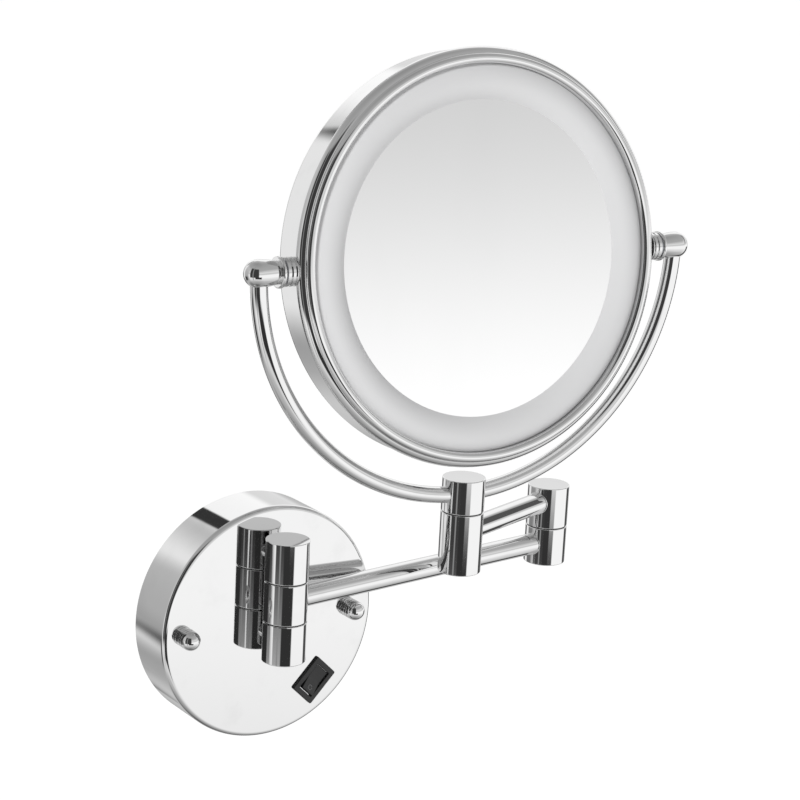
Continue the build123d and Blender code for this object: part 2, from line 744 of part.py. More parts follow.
# ------------------------------------------------------------------ every piece, by name
nodes = {}
nodes["wall_bracket"] = wall_bracket()
nodes["bracket_studs"] = both_sides(bracket_stud)
nodes["wall_plate"] = wall_plate()
nodes["cap_nuts"] = both_sides(cap_nut)
nodes["backing_plate"] = backing_plate()
nodes["knuckle_spacers"] = both_sides(knuckle_spacer)
nodes["knuckle_screws"] = both_sides(knuckle_screw)
nodes["wall_knuckle_top"] = outer_segment(1)
nodes["wall_knuckle_bottom"] = outer_segment(-1)
nodes["wall_hinge_pin"] = wall_hinge_pin()
nodes["wall_hinge_washers"] = wall_hinge_washers()
nodes["wall_hinge_plug"] = hinge_plug(wall_axis, wall_bottom_z)
nodes["switch_body"] = switch_body()
nodes["switch_terminals"] = switch_terminals()
nodes["led_driver"] = led_driver()
nodes["terminal_block"] = terminal_block()

nodes["switch_rocker"] = switch_rocker()

nodes["arm1_knuckle"] = arm1_knuckle()
nodes["arm1_bush"] = arm1_bush()
nodes["arm1_tube"] = arm_tube(wall_axis, elbow_axis, arm1_z)
nodes["elbow_lower"] = hinge_lower(elbow_axis, elbow_bottom_z, elbow_seam_z) - arm_socket(
    elbow_axis, arm1_angle + 180, arm1_z
)
nodes["elbow_bush"] = hinge_bush(elbow_axis, elbow_bottom_z, elbow_seam_z)
nodes["elbow_washer"] = hinge_washer(elbow_axis, elbow_seam_z)
nodes["elbow_plug"] = hinge_plug(elbow_axis, elbow_bottom_z)

elbow_pin_top = elbow_top_z - pin_cover
elbow_upper = upright(knuckle_radius, elbow_axis, elbow_seam_z + seam_gap, elbow_top_z, knuckle_edge)
elbow_upper -= upright(pin_radius, elbow_axis, elbow_seam_z, elbow_pin_top)
nodes["elbow_upper"] = elbow_upper - arm_socket(elbow_axis, arm2_angle, arm2_z)
nodes["elbow_pin"] = hinge_pin(elbow_axis, elbow_bottom_z, elbow_pin_top)
nodes["elbow_keeper"] = hinge_keeper(elbow_axis, elbow_bottom_z)
nodes["arm2_tube"] = arm_tube(elbow_axis, front_axis, arm2_z)
nodes["front_lower"] = hinge_lower(front_axis, front_bottom_z, front_seam_z) - arm_socket(
    front_axis, arm2_angle + 180, arm2_z
)
nodes["front_bush"] = hinge_bush(front_axis, front_bottom_z, front_seam_z)
nodes["front_washer"] = hinge_washer(front_axis, front_seam_z)
nodes["front_plug"] = hinge_plug(front_axis, front_bottom_z)

nodes["yoke_knuckle"] = yoke_knuckle()
nodes["yoke_pin"] = hinge_pin(front_axis, front_bottom_z, yoke_pin_top)
nodes["yoke_keeper"] = hinge_keeper(front_axis, front_bottom_z)
nodes["yoke_set_screw"] = yoke_set_screw()
nodes["yoke_tube"] = yoke_tube()
nodes["yoke_barrels"] = both_sides(yoke_barrel)
nodes["tilt_springs"] = both_sides(tilt_spring)
nodes["tilt_screws"] = both_sides(tilt_screw)

nodes["drum_housing"] = drum_housing()
nodes["front_bezel"] = front_bezel()
nodes["diffuser_ring"] = diffuser_ring()
nodes["front_mirror"] = front_mirror()
nodes["chassis"] = chassis()
nodes["led_board"] = led_board()
nodes["leds"] = leds()
nodes["rear_mirror"] = rear_mirror()
nodes["rear_gasket"] = rear_gasket()
nodes["tilt_blocks"] = both_sides(tilt_block_solid)
nodes["tilt_bushes"] = both_sides(tilt_bush)
nodes["pivot_collars"] = both_sides(pivot_collar)

os.makedirs("parts", exist_ok=True)
for name, shape in nodes.items():
    export_step(shape, f"parts/{name}.step")
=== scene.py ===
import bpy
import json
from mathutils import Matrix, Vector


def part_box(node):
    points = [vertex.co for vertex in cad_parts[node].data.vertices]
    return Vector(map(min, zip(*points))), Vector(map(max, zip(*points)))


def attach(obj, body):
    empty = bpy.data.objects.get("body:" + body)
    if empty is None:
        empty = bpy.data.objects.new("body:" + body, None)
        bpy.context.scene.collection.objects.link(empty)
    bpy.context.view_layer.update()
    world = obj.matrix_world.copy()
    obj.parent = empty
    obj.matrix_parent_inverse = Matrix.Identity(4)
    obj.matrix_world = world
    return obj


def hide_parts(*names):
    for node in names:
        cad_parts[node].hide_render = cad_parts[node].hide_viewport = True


bl_info = {
    "name": "Extendable Shaving Mirror",
    "version": (1, 0, 0),
    "blender": (4, 5, 0),
    "location": "View3D > Sidebar > Shaving Mirror",
    "description": "Builds the finished look of a lit, wall-mounted shaving mirror on folding arms",
    "category": "Add Mesh",
}

import json
import math

import bmesh
import bpy
import numpy as np
from bpy.props import FloatProperty, FloatVectorProperty, IntProperty, PointerProperty
from mathutils import Matrix, Vector

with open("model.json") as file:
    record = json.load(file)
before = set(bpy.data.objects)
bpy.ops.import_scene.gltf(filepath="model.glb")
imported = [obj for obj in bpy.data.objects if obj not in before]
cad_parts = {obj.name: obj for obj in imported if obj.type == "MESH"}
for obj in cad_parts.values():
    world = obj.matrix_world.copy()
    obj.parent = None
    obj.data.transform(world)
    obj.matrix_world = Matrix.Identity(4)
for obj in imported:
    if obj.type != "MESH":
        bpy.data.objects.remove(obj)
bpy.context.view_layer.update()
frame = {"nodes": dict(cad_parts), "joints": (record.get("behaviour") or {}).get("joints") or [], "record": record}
joints = {joint["name"]: joint for joint in frame["joints"]}
slots = {part["node"]: part["material_slot"] for part in frame["record"]["subparts"]}

MM = 0.001
MICRON = 0.000001
GUARD = 0.03 * MM  # a flat face stays flat up to this close to its rounded edge
SHARP = 0.03 * MM  # the least rounding that an edge gets
LARGE_SIDES = 256  # facets round the drum, the bezel and the wall plate
NUT_SIDES = 96
MARK_SIDES = 48


# ---------------------------------------------------------------- places that come from the frame
def width_of(node):
    low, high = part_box(node)
    return high.x - low.x


def pivot_of(name):
    return Vector(joints[name]["pos_m"])


def axes_matrix(x, y, z):
    """The turn that takes the three axes to three given directions."""
    return Matrix((x, y, z)).transposed().to_4x4()


def plane_matrix(origin, along, out):
    """A place whose z runs along one direction and whose x points as near as it can to another."""
    z = Vector(along).normalized()
    y = z.cross(Vector(out)).normalized()
    return Matrix.Translation(origin) @ axes_matrix(y.cross(z), y, z)


KNUCKLE_RADIUS = width_of("elbow_upper") / 2
PLUG_RADIUS = width_of("elbow_plug") / 2
BUSH_RADIUS = width_of("elbow_bush") / 2
WASHER_RADIUS = width_of("elbow_washer") / 2
UP = Vector((0, 0, 1))
YOKE_RIGHT = Vector(joints["head_tilt"]["axis"]).normalized()
YOKE_TURN = axes_matrix(YOKE_RIGHT, UP.cross(YOKE_RIGHT), UP)
YOKE_PLACE = Matrix.Translation(pivot_of("head_tilt")) @ YOKE_TURN
PLATE_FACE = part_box("wall_plate")[0].y
FORWARD = Matrix.Rotation(math.radians(90), 4, "X")  # turns z to point forward, along -y
HEAD_TILT = 6.6  # degrees that the front mirror faces upwards at rest
HEAD_PLACE = YOKE_PLACE @ Matrix.Rotation(math.radians(-HEAD_TILT), 4, "X") @ FORWARD
DRUM_RADIUS = 101.9 * MM
DRUM_MOUTH = 5.0 * MM  # front edge of the drum, forward of the tilt axis


# ---------------------------------------------------------------- shapes as whole arrays
def rounded(corners, radii, steps=6, closed=True):
    """An outline with its corners rounded, over any number of outlines at once.

    At a corner with sides towards unit vectors a and b, the arc starts and ends radius / tan(half
    the angle between them) along each side, and its centre lies radius / sin(half the angle) along
    their bisector. Points on it are the spherical blend of the two radii that end at the sides. One
    guard point stands on the side just before each arc and one just after.
    """
    corners = np.asarray(corners, float)
    radii = np.maximum(np.broadcast_to(np.asarray(radii, float), corners.shape[:-1]), SHARP)[..., None]
    before = np.roll(corners, 1, axis=-2) - corners
    after = np.roll(corners, -1, axis=-2) - corners
    before /= np.linalg.norm(before, axis=-1, keepdims=True)
    after /= np.linalg.norm(after, axis=-1, keepdims=True)
    angle = np.arccos(np.clip((before * after).sum(-1, keepdims=True), -1, 1))
    reach = radii / np.tan(angle / 2)
    bisector = before + after
    bisector /= np.linalg.norm(bisector, axis=-1, keepdims=True)
    centre = corners + bisector * radii / np.sin(angle / 2)
    first, last = corners + before * reach - centre, corners + after * reach - centre
    share = np.linspace(0, 1, steps + 1)[:, None]
    turn = (math.pi - angle)[..., None, :]
    arc = np.sin((1 - share) * turn) * first[..., None, :] + np.sin(share * turn) * last[..., None, :]
    arc = centre[..., None, :] + arc / np.sin(turn)
    lead = (corners + before * (reach + GUARD))[..., None, :]
    trail = (corners + after * (reach + GUARD))[..., None, :]
    points = np.concatenate([lead, arc, trail], axis=-2)
    if not closed:
        points = points[..., 1:-1, :, :]
    outline = points.reshape(*points.shape[:-3], -1, 2)
    if closed:
        return outline
    return np.concatenate([corners[..., :1, :], outline, corners[..., -1:, :]], axis=-2)


def turned_grid(outline, sides):
    """A turned shape: each outline point (radius, height) goes round the z axis, so a point is
    (radius cos t, radius sin t, height) for t all round the circle."""
    t = np.linspace(0, math.tau, sides, endpoint=False)
    radius, height = outline[:, :1], outline[:, 1:]
    return np.stack([radius * np.cos(t), radius * np.sin(t), height + 0 * t], axis=-1)


def tube_grid(centres, across, upward, radius, sides):
    """A round bar along a line: a point is centre + radius (cos s across + sin s upward), with s all
    round the section. Its ends close on the first and last centre."""
    s = np.linspace(0, math.tau, sides, endpoint=False)[None, :, None]
    ring = centres[:, None] + radius * (np.cos(s) * across[:, None] + np.sin(s) * upward[:, None])
    ends = np.repeat(centres[[0, -1], None], sides, axis=1)
    return np.concatenate([ends[:1], ring, ends[1:]])


def saddle_grid(arm_radius, post_radius, bead, steps, sides):
    """The bead where a bar of one radius runs into the side of a post of another. The bar runs along
    x and the post along z. Round the bar, the joint lies at x = root(post radius squared - y squared)
    for y = bar radius cos t and z = bar radius sin t, and the bead is a ring about that line, spread
    over the bar's own radial direction and x."""
    t = np.linspace(0, math.tau, steps, endpoint=False)[:, None]
    s = np.linspace(0, math.tau, sides, endpoint=False)[None, :]
    swell = arm_radius + bead * np.cos(s)
    x = np.sqrt(post_radius**2 - (arm_radius * np.cos(t)) ** 2) + bead * np.sin(s)
    return np.stack([x, swell * np.cos(t), swell * np.sin(t)], axis=-1)


def framed_grid(profile, half_length, half_width, corner):
    """Nested rounded rectangles: each profile point (inset, height) gives one, whose half sizes are
    the outer ones less the inset and whose corner radius shrinks with it."""
    least_corner = 0.25 * MM
    inset, height = profile[:, 0], profile[:, 1]
    x, z = half_length - inset, half_width - inset
    corners = np.stack([np.stack(pair, -1) for pair in ((x, z), (-x, z), (-x, -z), (x, -z))], -2)
    loops = rounded(corners, np.maximum(corner - inset, least_corner)[:, None])
    points = np.stack([loops[..., 0], np.broadcast_to(height[:, None], loops.shape[:-1]), loops[..., 1]], -1)
    ends = points[[0, -1]].copy()
    ends[..., 0] = 0
    ends[..., 2] = 0
    return np.concatenate([ends[:1], points, ends[1:]])


def moved(grid, place):
    """The same grid after a 4 by 4 placing matrix."""
    matrix = np.array(place)
    return grid @ matrix[:3, :3].T + matrix[:3, 3]


def grid_faces(rows, columns, wrap_rows):
    """Corner numbers of the quads between neighbouring rows and columns; columns always wrap."""
    row = np.arange(rows if wrap_rows else rows - 1)[:, None]
    column = np.arange(columns)[None, :]
    this, after = row * columns, (row + 1) % rows * columns
    next_column = (column + 1) % columns
    quads = [this + column, this + next_column, after + next_column, after + column]
    return np.stack(quads, -1).reshape(-1, 4)


def add_piece(name, grids, body, finish, replaced=(), wrap_rows=True):
    """Makes one piece from closed grids, with poles merged and faces turned outwards."""
    points, faces, start = [], [], 0
    for grid in grids:
        rows, columns = grid.shape[:2]
        points.append(grid.reshape(-1, 3))
        faces.append(grid_faces(rows, columns, wrap_rows) + start)
        start += rows * columns
    mesh = bpy.data.meshes.new(name)
    mesh.from_pydata(np.concatenate(points), [], np.concatenate(faces))
    shell = bmesh.new()
    shell.from_mesh(mesh)
    bmesh.ops.remove_doubles(shell, verts=shell.verts, dist=1e-7)
    bmesh.ops.dissolve_degenerate(shell, edges=shell.edges, dist=1e-8)
    bmesh.ops.recalc_face_normals(shell, faces=shell.faces)
    shell.to_mesh(mesh)
    shell.free()
    mesh.polygons.foreach_set("use_smooth", np.ones(len(mesh.polygons), bool))
    mesh.materials.append(finish_named(finish))
    piece = bpy.data.objects.new(name, mesh)
    bpy.context.scene.collection.objects.link(piece)
    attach(piece, body)
    if replaced:
        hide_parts(*replaced)
    return piece


# ---------------------------------------------------------------- shader maths
class Wire:
    """One output socket. Arithmetic on it adds Math nodes."""

    def __init__(self, shader, socket):
        self.shader = shader
        self.socket = socket

    def math(self, operation, *values):
        return self.shader.node("Math", {"operation": operation}, dict(enumerate(values)))

    def __add__(self, other):
        return self.math("ADD", self, other)

    __radd__ = __add__

    def __sub__(self, other):
        return self.math("SUBTRACT", self, other)

    def __rsub__(self, other):
        return self.math("SUBTRACT", other, self)

    def __mul__(self, other):
        return self.math("MULTIPLY", self, other)

    __rmul__ = __mul__

    def between(self, low, high):
        """0 below low, 1 above high, smooth in between."""
        return self.shader.node(
            "MapRange",
            {"interpolation_type": "SMOOTHSTEP"},
            {"Value": self, "From Min": low, "From Max": high},
        )


class Shader:
    """A node tree that is written as expressions."""

    def __init__(self, tree):
        self.tree = tree
        tree.nodes.clear()

    def node(self, kind, settings=None, sockets=None, output=0):
        """Adds a node: its settings first, then the value or the link of each named socket."""
        made = self.tree.nodes.new("ShaderNode" + kind)
        for name, value in (settings or {}).items():
            setattr(made, name, value)
        for name, value in (sockets or {}).items():
            if isinstance(value, Wire):
                self.tree.links.new(value.socket, made.inputs[name])
            else:
                made.inputs[name].default_value = value
        return Wire(self, made.outputs[output]) if len(made.outputs) else made

    def place(self, stretch=(1, 1, 1)):
        """Object coordinates, stretched along the axes."""
        spot = self.node("TexCoord", output="Object")
        return spot if stretch == (1, 1, 1) else self.node("Mapping", {}, {"Vector": spot, "Scale": stretch})

    def noise(self, scale, detail=2.0, roughness=0.5, stretch=(1, 1, 1)):
        """Noise on the object's own coordinates, so many waves to the metre."""
        return self.node(
            "TexNoise",
            {},
            {"Vector": self.place(stretch), "Scale": scale, "Detail": detail, "Roughness": roughness},
        )

    def tinted(self, factor, low, high):
        """The colour between two others, by a factor from 0 to 1."""
        return self.node("Mix", {"data_type": "RGBA"}, {0: factor, 6: (*low, 1), 7: (*high, 1)}, output=2)

    def bump(self, height, distance, strength=1.0, under=None):
        sockets = {"Height": height, "Distance": distance, "Strength": strength}
        if under is not None:
            sockets["Normal"] = under
        return self.node("Bump", {}, sockets)

    def surface(self, **sockets):
        """The Principled shader, joined to the output. Underscores stand for spaces."""
        named = {name.replace("_", " ").replace("Ior", "IOR"): value for name, value in sockets.items()}
        shader = self.node("BsdfPrincipled", {}, named)
        self.node("OutputMaterial", {}, {"Surface": shader})


finishes = {}
makers = {}


def finish_named(name):
    """The material for one of the record's slots, made the first time it is asked for."""
    if name not in finishes:
        material = bpy.data.materials.new(name)
        material.use_nodes = True
        makers[name](Shader(material.node_tree), bpy.context.scene.mirror_finish)
        finishes[name] = material
    return finishes[name]


def dimmed(colour, share):
    return [channel * share for channel in colour]


def maker(name):
    """Marks the function that makes the material of one slot."""

    def keep(function):
        makers[name] = function
        return function

    return keep


@maker("chrome_plate")
def chrome_plate(s, look):
    """Bright chrome over polish: nearly clear reflections, a faint orange peel left by the buffing
    wheel, hair-fine polishing lines, and a thin handling film that dulls it in patches."""
    film = s.noise(45.0, 4.0, 0.6).between(0.5, 0.75)
    lines = s.noise(900.0, 2.0, 0.6, (1, 0.06, 1))
    specks = s.noise(2600.0, 1.0).between(0.72, 0.78)
    peel = s.bump(s.noise(55.0, 2.0), look.peel_depth)
    fine = s.bump(lines, look.peel_depth * 0.01, 1.0, peel)
    s.surface(
        Base_Color=s.tinted(film * 0.6 + specks * 0.4, look.chrome, dimmed(look.chrome, 0.93)),
        Metallic=1.0,
        Roughness=look.polish + film * 0.022 + lines * 0.012 + specks * 0.08,
        Normal=fine,
    )


@maker("silvered_glass")
def silvered_glass(s, look):
    """A silvered mirror: clear, very slightly cool, with a trace of wiping haze."""
    haze = s.noise(18.0, 3.0, 0.55, (1, 1, 0.35)).between(0.45, 0.8)
    dust = s.noise(1500.0, 1.0).between(0.74, 0.78)
    s.surface(
        Base_Color=s.tinted(haze, look.mirror, dimmed(look.mirror, 0.985)),
        Metallic=1.0,
        Roughness=0.004 + haze * 0.012 + dust * 0.05,
    )


@maker("frosted_acrylic")
def frosted_acrylic(s, look):
    """Opal acrylic with a blasted surface: milky white, a fine frost grain and a soft sheen."""
    cloud = s.noise(30.0, 3.0, 0.5)
    grain = s.noise(2400.0, 2.0, 0.6)
    s.surface(
        Base_Color=s.tinted(cloud, look.frost, dimmed(look.frost, 0.965)),
        Roughness=0.34 + grain * 0.14,
        Coat_Weight=0.25,
        Coat_Roughness=0.3,
        Normal=s.bump(grain, 20 * MICRON, 0.6),
    )


def moulded(s, colour, grain_scale, grain_depth, roughness, shine=0.0):
    """Moulded plastic: a slight mottle, a spark-eroded grain and flow haze."""
    mottle = s.noise(120.0, 3.0)
    grain = s.noise(grain_scale, 2.0, 0.55)
    s.surface(
        Base_Color=s.tinted(mottle, colour, dimmed(colour, 0.9)),
        Roughness=roughness + mottle * 0.08 + grain * 0.06,
        Coat_Weight=shine,
        Coat_Roughness=0.12,
        Normal=s.bump(grain, grain_depth),
    )


@maker("black_plastic")
def black_plastic(s, look):
    moulded(s, look.switch, 3200.0, 12 * MICRON, 0.3, 0.06)


@maker("nylon")
def nylon(s, look):
    moulded(s, (0.78, 0.77, 0.72), 1500.0, 10 * MICRON, 0.42)


@maker("driver_case")
def driver_case(s, look):
    moulded(s, (0.83, 0.83, 0.82), 1200.0, 30 * MICRON, 0.5)


@maker("terminal_plastic")
def terminal_plastic(s, look):
    moulded(s, (0.72, 0.73, 0.68), 1500.0, 10 * MICRON, 0.36, 0.1)


@maker("white_abs")
def white_abs(s, look):
    moulded(s, (0.86, 0.86, 0.85), 1400.0, 20 * MICRON, 0.4)


@maker("board_white")
def board_white(s, look):
    moulded(s, (0.88, 0.88, 0.84), 2200.0, 5 * MICRON, 0.3, 0.3)


@maker("led_yellow")
def led_yellow(s, look):
    """Phosphor gel over the lamp, grainy under a smooth dome."""
    grain = s.noise(3000.0, 2.0)
    s.surface(
        Base_Color=s.tinted(grain, (0.93, 0.78, 0.22), (0.85, 0.66, 0.14)),
        Roughness=0.25 + grain * 0.1,
        Coat_Weight=0.5,
    )


@maker("foam")
def foam(s, look):
    """Closed-cell foam: dark, matt and pitted with small cells."""
    cells = s.node("TexVoronoi", {"feature": "F1"}, {"Vector": s.place(), "Scale": 1600.0})
    s.surface(
        Base_Color=s.tinted(cells, (0.03, 0.03, 0.032), (0.1, 0.1, 0.1)),
        Roughness=0.85 + cells * 0.1,
        Normal=s.bump(cells, 150 * MICRON),
    )


def worked_metal(s, colour, dark, stretch, roughness, scale=700.0):
    """Bare or zinc-plated metal: drawn lines one way, a cloudy plating tone and dull handled patches."""
    drawn = s.noise(scale, 3.0, 0.6, stretch)
    cloud = s.noise(70.0, 4.0, 0.6).between(0.35, 0.75)
    s.surface(
        Base_Color=s.tinted(cloud, colour, dark),
        Metallic=1.0,
        Roughness=roughness + drawn * 0.12 + cloud * 0.1,
        Normal=s.bump(drawn, 6 * MICRON),
    )


@maker("zinc_steel")
def zinc_steel(s, look):
    worked_metal(s, (0.62, 0.63, 0.66), (0.52, 0.53, 0.57), (0.05, 1, 1), 0.26)


@maker("die_cast")
def die_cast(s, look):
    worked_metal(s, (0.55, 0.55, 0.57), (0.45, 0.45, 0.47), (1, 1, 1), 0.42, 900.0)


@maker("bronze")
def bronze(s, look):
    worked_metal(s, (0.62, 0.4, 0.2), (0.48, 0.3, 0.15), (1, 1, 1), 0.38, 1800.0)


@maker("tinned_brass")
def tinned_brass(s, look):
    worked_metal(s, (0.76, 0.72, 0.6), (0.66, 0.6, 0.46), (1, 0.1, 1), 0.22)


@maker("switch_print")
def switch_print(s, look):
    """Pale grey pad-printed ink, slightly worn."""
    worn = s.noise(900.0, 3.0).between(0.3, 0.7)
    s.surface(Base_Color=s.tinted(worn, (0.1, 0.1, 0.1), (0.2, 0.2, 0.2)), Roughness=0.5 + worn * 0.1)


# ---------------------------------------------------------------- sizes and looks that a user can change
class MirrorSizes(bpy.types.PropertyGroup):
    edge_rounding: FloatProperty(
        name="Knuckle edge", description="Rounding of the polished edges of the hinge knuckles",
        default=0.45 * MM, min=0.1 * MM, max=1.0 * MM, unit="LENGTH", precision=5,
    )
    rim_bead: FloatProperty(
        name="Arm rim", description="Radius of the brazed bead where an arm enters a knuckle",
        default=0.4 * MM, min=0.1 * MM, max=0.8 * MM, unit="LENGTH", precision=5,
    )
    sides: IntProperty(
        name="Sides", description="Number of facets round a turned piece", default=128, min=32, max=256,
    )


class MirrorFinish(bpy.types.PropertyGroup):
    chrome: FloatVectorProperty(
        name="Chrome", description="Colour of the chrome plating", subtype="COLOR",
        default=(0.80, 0.80, 0.80), min=0, max=1,
    )
    mirror: FloatVectorProperty(
        name="Mirror glass", description="Tint of the silvered mirrors", subtype="COLOR",
        default=(0.93, 0.93, 0.93), min=0, max=1,
    )
    frost: FloatVectorProperty(
        name="Frosted ring", description="Colour of the opal ring over the lamps", subtype="COLOR",
        default=(0.74, 0.74, 0.745), min=0, max=1,
    )
    switch: FloatVectorProperty(
        name="Switch", description="Colour of the rocker switch", subtype="COLOR",
        default=(0.006, 0.006, 0.0065), min=0, max=1,
    )
    polish: FloatProperty(
        name="Polish", description="Roughness of the cleanest chrome", default=0.03, min=0, max=0.3,
    )
    peel_depth: FloatProperty(
        name="Orange peel", description="Depth of the slow waves in the chrome", default=8 * MICRON,
        min=0, max=100 * MICRON, unit="LENGTH", precision=6,
    )


class MirrorStage(bpy.types.PropertyGroup):
    floor_drop: FloatProperty(
        name="Floor drop", description="How far the floor lies below the middle of the wall plate",
        default=1.3, min=0.2, max=3.0, unit="LENGTH",
    )
    lens: FloatProperty(
        name="Lens", description="Focal length of the camera", default=105.5, min=20, max=300, unit="CAMERA",
    )
    pale: FloatVectorProperty(
        name="Floor colour", description="Colour of the floor", subtype="COLOR",
        default=(0.9, 0.9, 0.9), min=0, max=1,
    )
    glow: FloatProperty(name="Light", description="Strength of the studio light", default=1.0, min=0, max=5)


# ---------------------------------------------------------------- operators
def knuckle_end(height, inward, core, wide, depth):
    """One end of a knuckle's section, as (radius, height, rounding) points from the axis outwards: a
    flat face from the core's radius, or a floor sunk inwards by a depth and its wall at the wide
    radius."""
    if not depth:
        return [(core, height, 0)]
    floor = height + inward * depth
    return [(core, floor, 0), (wide, floor, 0), (wide, height, 0)]


class BuildKnuckles(bpy.types.Operator):
    """Turns the hinge knuckles, bored and recessed as their hinges need, with rounded polished edges"""

    bl_idname = "shaving_mirror.build_knuckles"
    bl_label = "Hinge Knuckles"

    def execute(self, context):
        sizes = context.scene.mirror_sizes
        edge, sides = sizes.edge_rounding, sizes.sides
        recess, shallow, deep = 1.0 * MM, 1.5 * MM, 5.6 * MM
        flat, bored = (0, 0, 0), (BUSH_RADIUS, 0, 0)
        blind_recess, bored_recess = (0, WASHER_RADIUS, recess), (BUSH_RADIUS, WASHER_RADIUS, recess)
        plug_seat, deep_seat = (BUSH_RADIUS, PLUG_RADIUS, shallow), (BUSH_RADIUS, PLUG_RADIUS, deep)
        for name, body, joint, bottom, top in (
            ("wall_knuckle_top", "wall", "wall_swing", blind_recess, flat),
            ("wall_knuckle_bottom", "wall", "wall_swing", plug_seat, bored_recess),
            ("arm1_knuckle", "arm1", "wall_swing", bored, bored),
            ("elbow_lower", "arm1", "elbow_fold", deep_seat, bored_recess),
            ("elbow_upper", "arm2", "elbow_fold", flat, flat),
            ("front_lower", "arm2", "yoke_swivel", deep_seat, bored_recess),
            ("yoke_knuckle", "yoke", "yoke_swivel", flat, flat),
        ):
            low, high = (corner.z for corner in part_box(name))
            side = [(KNUCKLE_RADIUS, low, edge), (KNUCKLE_RADIUS, high, edge)]
            corners = np.array(knuckle_end(low, 1, *bottom) + side + knuckle_end(high, -1, *top)[::-1])
            ring = corners[0, 0] > 0  # bored right through, with no pole on its axis
            outline = rounded(corners[:, :2], corners[:, 2], closed=ring)
            place = Matrix.Translation((*pivot_of(joint).xy, 0))
            grids = [moved(turned_grid(outline, sides), place)]
            add_piece(name + "_turned", grids, body, "chrome_plate", (name,), wrap_rows=ring)
        return {"FINISHED"}


def arm_ends(name):
    """The two hinge axes that an arm runs between, at the arm's height."""
    height = sum(corner.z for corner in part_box(name)) / 2
    hinges = {"arm1_tube": ("wall_swing", "elbow_fold"), "arm2_tube": ("elbow_fold", "yoke_swivel")}[name]
    return [Vector((*pivot_of(hinge).xy, height)) for hinge in hinges]


class BuildArms(bpy.types.Operator):
    """Draws the two arm tubes and the brazed rims where they enter the knuckles"""

    bl_idname = "shaving_mirror.build_arms"
    bl_label = "Arms"

    def execute(self, context):
        sizes = context.scene.mirror_sizes
        wall, edge = 1.0 * MM, 0.1 * MM
        reach = 6.8 * MM  # a tube's ends stop this far from the hinge axes
        rim_steps, rim_sides = 96, 16
        for name, body in (("arm1_tube", "arm1"), ("arm2_tube", "arm2")):
            start, end = arm_ends(name)
            low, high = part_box(name)
            radius = (high.z - low.z) / 2
            inner, stop = radius - wall, (end - start).length - reach
            outline = rounded([(inner, reach), (radius, reach), (radius, stop), (inner, stop)], edge)
            tube = moved(turned_grid(outline, sizes.sides), plane_matrix(start, end - start, UP))
            add_piece(name + "_drawn", [tube], body, "chrome_plate", (name,))
            rims = []
            for foot, tip in ((start, end), (end, start)):
                along = (tip - foot).normalized()
                turn = axes_matrix(along, UP.cross(along), UP)
                rim = saddle_grid(radius, KNUCKLE_RADIUS, sizes.rim_bead, rim_steps, rim_sides)
                rims.append(moved(rim, Matrix.Translation(foot) @ turn))
            add_piece(name.replace("tube", "rims"), rims, body, "chrome_plate")
        return {"FINISHED"}


def barrel_outline(flange, start, end, lip, waist, barrel):
    """A barrel's section as (radius, height) points: the flange, a side that swells from the waist to
    the barrel's full radius along one arc, and a half-round dome. The arc's radius is (run squared +
    swell squared) / (2 swell), and its centre stands level with the foot of the dome."""
    lip_edge, foot_edge, lead, arc_steps = 0.8 * MM, 0.3 * MM, 0.4 * MM, 24
    flange_corners = np.array([
        (0, flange, 0), (lip, flange, lip_edge), (lip, start, lip_edge), (waist, start, foot_edge),
    ])
    belly = end - barrel
    run, swell = belly - start, barrel - waist
    arc = (run**2 + swell**2) / (2 * swell)
    rise = np.linspace(start + lead, belly, arc_steps)[:, None]
    side = np.concatenate([barrel - arc + np.sqrt(arc**2 - (belly - rise) ** 2), rise], axis=1)
    turn = np.linspace(0, math.pi / 2, arc_steps)[1:, None]
    dome = np.concatenate([barrel * np.cos(turn), belly + barrel * np.sin(turn)], axis=1)
    corners = np.vstack([flange_corners[:, :2], side[:1]])
    foot = rounded(corners, np.append(flange_corners[:, 2], 0), closed=False)
    return np.vstack([foot, side[1:], dome])


class BuildYoke(bpy.types.Operator):
    """Bends the yoke and turns the domed barrels at its ends"""

    bl_idname = "shaving_mirror.build_yoke"
    bl_label = "Yoke"

    def execute(self, context):
        tilt_height = pivot_of("head_tilt").z
        bow_radius = tilt_height - sum(corner.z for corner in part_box("yoke_knuckle")) / 2
        tube_radius = tilt_height - bow_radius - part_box("yoke_tube")[0].z
        socket = 4.2 * MM  # the tube's ends stop this far below the tilt axis
        bow_steps, tube_sides = 241, 64
        # the bow is a half circle below the tilt axis: a point is (radius cos t, 0, -radius sin t)
        cut = math.asin(socket / bow_radius)
        turn = np.linspace(cut, math.pi - cut, bow_steps)[:, None]
        outward = np.concatenate([np.cos(turn), 0 * turn, -np.sin(turn)], axis=1)
        backward = np.tile([0.0, 1.0, 0.0], (bow_steps, 1))
        bow = moved(tube_grid(bow_radius * outward, outward, backward, tube_radius, tube_sides), YOKE_PLACE)
        add_piece("yoke_bow", [bow], "yoke", "chrome_plate", ("yoke_tube",), wrap_rows=False)

        outline = barrel_outline(
            flange=109.6 * MM, start=111.6 * MM, end=128.4 * MM, lip=7.7 * MM, waist=5.4 * MM, barrel=6.8 * MM
        )
        barrel = turned_grid(outline, context.scene.mirror_sizes.sides)
        sides = [plane_matrix((0, 0, 0), (side, 0, 0), UP) for side in (-1, 1)]
        barrels = [moved(barrel, YOKE_PLACE @ side) for side in sides]
        add_piece("yoke_barrels_turned", barrels, "yoke", "chrome_plate", ("yoke_barrels",), wrap_rows=False)
        return {"FINISHED"}


